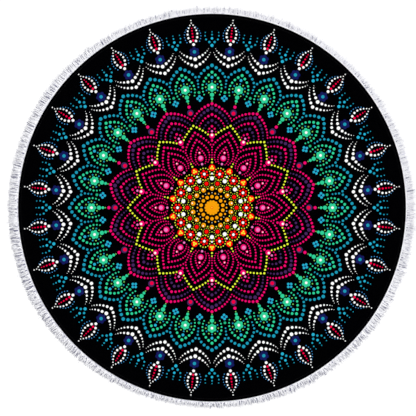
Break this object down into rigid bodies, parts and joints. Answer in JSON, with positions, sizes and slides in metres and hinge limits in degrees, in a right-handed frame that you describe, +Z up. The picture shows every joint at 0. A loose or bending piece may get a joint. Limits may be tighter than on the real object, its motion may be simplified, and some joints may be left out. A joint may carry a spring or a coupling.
{
  "type": "round beach towel",
  "caption": "Round printed beach towel lying flat, with a narrow turned hem and a loose yarn fringe on a woven heading all round its edge.",
  "frame": {"origin": "middle of the towel's underside, on the surface that it lies on", "axes": "+Z up out of the printed face; X and Y lie in the cloth, +Y towards the top of the picture"},
  "size_m": [1.4985, 1.4764, 0.0026],
  "materials": {
    "printed_cloth": "matt short-pile terry, black ground with a dotted print in many colours on its upper face",
    "fringe_yarn": "soft white twisted yarn"
  },
  "bodies": {
    "root": {"cloth": "printed_cloth", "fringe_trim": "fringe_yarn"}
  },
  "joints": []
}
